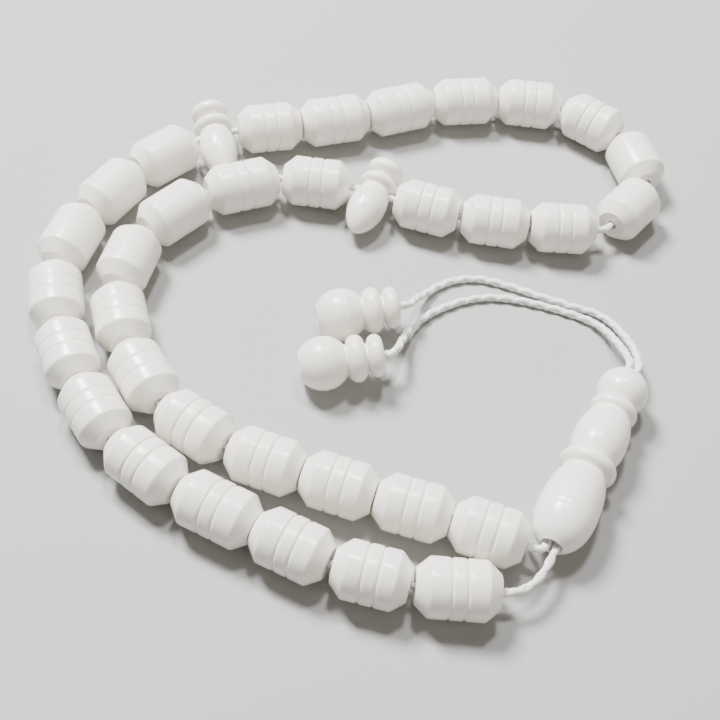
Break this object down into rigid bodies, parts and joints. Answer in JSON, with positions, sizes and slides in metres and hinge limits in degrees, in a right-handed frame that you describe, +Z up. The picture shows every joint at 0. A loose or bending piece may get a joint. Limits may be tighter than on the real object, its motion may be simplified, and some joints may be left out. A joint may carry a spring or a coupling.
{
  "type": "misbaha prayer beads",
  "caption": "Loop of turned bone prayer beads on a plaited cord, with cross-drilled marker beads, a long turned leader and two corded turned tips, laid out in a doubled curl.",
  "frame": {"origin": "on the table under the middle of the laid-out string, taken over the object's box", "axes": "+Z up from the table; +Y away from the leader's foot, along the longer side of the laid-out string; +X to the right, towards the leader"},
  "size_m": [0.108, 0.1141, 0.0093],
  "materials": {
    "bead_bone": "polished cream bone, soft gloss",
    "marker_bone": "polished cream bone, soft gloss",
    "leader_bone": "polished cream bone, soft gloss",
    "tip_bone": "polished cream bone, soft gloss",
    "cord_thread": "white plaited thread with a slight sheen"
  },
  "bodies": {
    "cord": {"loop_cord": "cord_thread", "tail_cord_a": "cord_thread", "tail_cord_b": "cord_thread", "knot_a": "cord_thread", "knot_b": "cord_thread"},
    "bead_01": {"bead_01": "bead_bone"},
    "bead_02": {"bead_02": "bead_bone"},
    "bead_03": {"bead_03": "bead_bone"},
    "bead_04": {"bead_04": "bead_bone"},
    "bead_05": {"bead_05": "bead_bone"},
    "bead_06": {"bead_06": "bead_bone"},
    "bead_07": {"bead_07": "bead_bone"},
    "bead_08": {"bead_08": "bead_bone"},
    "bead_09": {"bead_09": "bead_bone"},
    "bead_10": {"bead_10": "bead_bone"},
    "bead_11": {"bead_11": "bead_bone"},
    "bead_12": {"bead_12": "bead_bone"},
    "bead_13": {"bead_13": "bead_bone"},
    "bead_14": {"bead_14": "bead_bone"},
    "bead_15": {"bead_15": "bead_bone"},
    "bead_16": {"bead_16": "bead_bone"},
    "bead_17": {"bead_17": "bead_bone"},
    "bead_18": {"bead_18": "bead_bone"},
    "bead_19": {"bead_19": "bead_bone"},
    "bead_20": {"bead_20": "bead_bone"},
    "bead_21": {"bead_21": "bead_bone"},
    "bead_22": {"bead_22": "bead_bone"},
    "bead_23": {"bead_23": "bead_bone"},
    "bead_24": {"bead_24": "bead_bone"},
    "bead_25": {"bead_25": "bead_bone"},
    "bead_26": {"bead_26": "bead_bone"},
    "bead_27": {"bead_27": "bead_bone"},
    "bead_28": {"bead_28": "bead_bone"},
    "bead_29": {"bead_29": "bead_bone"},
    "bead_30": {"bead_30": "bead_bone"},
    "bead_31": {"bead_31": "bead_bone"},
    "bead_32": {"bead_32": "bead_bone"},
    "bead_33": {"bead_33": "bead_bone"},
    "marker_1": {"marker_1": "marker_bone"},
    "marker_2": {"marker_2": "marker_bone"},
    "leader": {"leader": "leader_bone"},
    "tip_a": {"tip_a": "tip_bone"},
    "tip_b": {"tip_b": "tip_bone"}
  },
  "joints": [
    {"name": "leader_slide", "type": "slide", "parent": "cord", "child": "leader", "axis": [0.3584, 0.9336, 0], "range_m": [0, 0.002]},
    {"name": "bead_20_slide", "type": "slide", "parent": "cord", "child": "bead_20", "axis": [-0.9962, -0.0872, 0], "range_m": [-0.0015, 0]},
    {"name": "marker_1_swing", "type": "hinge", "parent": "cord", "child": "marker_1", "pos_m": [-0.02949, 0.03265, 0.0044], "axis": [0.866, 0.5, 0], "continuous": true},
    {"name": "marker_2_swing", "type": "hinge", "parent": "cord", "child": "marker_2", "pos_m": [0.00091, 0.02306, 0.0044], "axis": [-0.9744, 0.225, 0], "continuous": true},
    {"name": "tip_a_spin", "type": "hinge", "parent": "cord", "child": "tip_a", "pos_m": [0.00742, -0.00329, 0.00542], "axis": [-0.9606, -0.2574, -0.1045], "continuous": true},
    {"name": "tip_b_spin", "type": "hinge", "parent": "cord", "child": "tip_b", "pos_m": [0.00582, -0.01359, 0.00542], "axis": [-0.9606, -0.2574, -0.1045], "continuous": true},
    {"name": "bead_01_spin", "type": "hinge", "parent": "cord", "child": "bead_01", "pos_m": [0.01991, -0.05242, 0.0044], "axis": [-0.9986, -0.0523, 0], "continuous": true},
    {"name": "bead_02_spin", "type": "hinge", "parent": "cord", "child": "bead_02", "pos_m": [0.00767, -0.05193, 0.0044], "axis": [-0.9903, 0.1392, 0], "continuous": true},
    {"name": "bead_03_spin", "type": "hinge", "parent": "cord", "child": "bead_03", "pos_m": [-0.00399, -0.049, 0.0044], "axis": [-0.9397, 0.342, 0], "continuous": true},
    {"name": "bead_04_spin", "type": "hinge", "parent": "cord", "child": "bead_04", "pos_m": [-0.01551, -0.04469, 0.0044], "axis": [-0.9336, 0.3584, 0], "continuous": true},
    {"name": "bead_05_spin", "type": "hinge", "parent": "cord", "child": "bead_05", "pos_m": [-0.02714, -0.0389, 0.0044], "axis": [-0.848, 0.5299, 0], "continuous": true},
    {"name": "bead_06_spin", "type": "hinge", "parent": "cord", "child": "bead_06", "pos_m": [-0.03672, -0.0305, 0.0044], "axis": [-0.6293, 0.7771, 0], "continuous": true},
    {"name": "bead_07_spin", "type": "hinge", "parent": "cord", "child": "bead_07", "pos_m": [-0.04344, -0.02055, 0.0044], "axis": [-0.4848, 0.8746, 0], "continuous": true},
    {"name": "bead_08_spin", "type": "hinge", "parent": "cord", "child": "bead_08", "pos_m": [-0.04816, -0.00943, 0.0044], "axis": [-0.2924, 0.9563, 0], "continuous": true},
    {"name": "bead_09_spin", "type": "hinge", "parent": "cord", "child": "bead_09", "pos_m": [-0.04878, 0.00336, 0.0044], "axis": [0.1908, 0.9816, 0], "continuous": true},
    {"name": "bead_10_spin", "type": "hinge", "parent": "cord", "child": "bead_10", "pos_m": [-0.04464, 0.01537, 0.0044], "axis": [0.454, 0.891, 0], "continuous": true},
    {"name": "bead_11_spin", "type": "hinge", "parent": "cord", "child": "bead_11", "pos_m": [-0.03753, 0.02575, 0.0044], "axis": [0.6691, 0.7431, 0], "continuous": true},
    {"name": "bead_12_spin", "type": "hinge", "parent": "cord", "child": "bead_12", "pos_m": [-0.02001, 0.03666, 0.0044], "axis": [0.9511, 0.309, 0], "continuous": true},
    {"name": "bead_13_spin", "type": "hinge", "parent": "cord", "child": "bead_13", "pos_m": [-0.00834, 0.04093, 0.0044], "axis": [0.9272, 0.3746, 0], "continuous": true},
    {"name": "bead_14_spin", "type": "hinge", "parent": "cord", "child": "bead_14", "pos_m": [0.00354, 0.04635, 0.0044], "axis": [0.891, 0.454, 0], "continuous": true},
    {"name": "bead_15_spin", "type": "hinge", "parent": "cord", "child": "bead_15", "pos_m": [0.01581, 0.05097, 0.0044], "axis": [0.9703, 0.2419, 0], "continuous": true},
    {"name": "bead_16_spin", "type": "hinge", "parent": "cord", "child": "bead_16", "pos_m": [0.02831, 0.05264, 0.0044], "axis": [0.9998, 0.0175, 0], "continuous": true},
    {"name": "bead_17_spin", "type": "hinge", "parent": "cord", "child": "bead_17", "pos_m": [0.04058, 0.04952, 0.0044], "axis": [0.866, -0.5, 0], "continuous": true},
    {"name": "bead_18_spin", "type": "hinge", "parent": "cord", "child": "bead_18", "pos_m": [0.04867, 0.03988, 0.0044], "axis": [0.342, -0.9397, 0], "continuous": true},
    {"name": "bead_19_spin", "type": "hinge", "parent": "cord", "child": "bead_19", "pos_m": [0.04703, 0.02738, 0.0044], "axis": [-0.5736, -0.8192, 0], "continuous": true},
    {"name": "bead_21_spin", "type": "hinge", "parent": "cord", "child": "bead_21", "pos_m": [0.02277, 0.01997, 0.0044], "axis": [-0.9998, 0.0175, 0], "continuous": true},
    {"name": "bead_22_spin", "type": "hinge", "parent": "cord", "child": "bead_22", "pos_m": [0.01066, 0.02113, 0.0044], "axis": [-0.9848, 0.1736, 0], "continuous": true},
    {"name": "bead_23_spin", "type": "hinge", "parent": "cord", "child": "bead_23", "pos_m": [-0.00962, 0.02391, 0.0044], "axis": [-0.9998, -0.0175, 0], "continuous": true},
    {"name": "bead_24_spin", "type": "hinge", "parent": "cord", "child": "bead_24", "pos_m": [-0.02256, 0.02071, 0.0044], "axis": [-0.8988, -0.4384, 0], "continuous": true},
    {"name": "bead_25_spin", "type": "hinge", "parent": "cord", "child": "bead_25", "pos_m": [-0.03311, 0.01222, 0.0044], "axis": [-0.6157, -0.788, 0], "continuous": true},
    {"name": "bead_26_spin", "type": "hinge", "parent": "cord", "child": "bead_26", "pos_m": [-0.0383, 0.00027, 0.0044], "axis": [-0.1392, -0.9903, 0], "continuous": true},
    {"name": "bead_27_spin", "type": "hinge", "parent": "cord", "child": "bead_27", "pos_m": [-0.0369, -0.01219, 0.0044], "axis": [0.3584, -0.9336, 0], "continuous": true},
    {"name": "bead_28_spin", "type": "hinge", "parent": "cord", "child": "bead_28", "pos_m": [-0.03097, -0.02286, 0.0044], "axis": [0.6018, -0.7986, 0], "continuous": true},
    {"name": "bead_29_spin", "type": "hinge", "parent": "cord", "child": "bead_29", "pos_m": [-0.02134, -0.03106, 0.0044], "axis": [0.8829, -0.4695, 0], "continuous": true},
    {"name": "bead_30_spin", "type": "hinge", "parent": "cord", "child": "bead_30", "pos_m": [-0.00982, -0.03549, 0.0044], "axis": [0.9703, -0.2419, 0], "continuous": true},
    {"name": "bead_31_spin", "type": "hinge", "parent": "cord", "child": "bead_31", "pos_m": [0.00147, -0.0381, 0.0044], "axis": [0.9781, -0.2079, 0], "continuous": true},
    {"name": "bead_32_spin", "type": "hinge", "parent": "cord", "child": "bead_32", "pos_m": [0.01275, -0.04029, 0.0044], "axis": [0.9848, -0.1736, 0], "continuous": true},
    {"name": "bead_33_spin", "type": "hinge", "parent": "cord", "child": "bead_33", "pos_m": [0.02407, -0.0427, 0.0044], "axis": [0.9703, -0.2419, 0], "continuous": true}
  ]
}
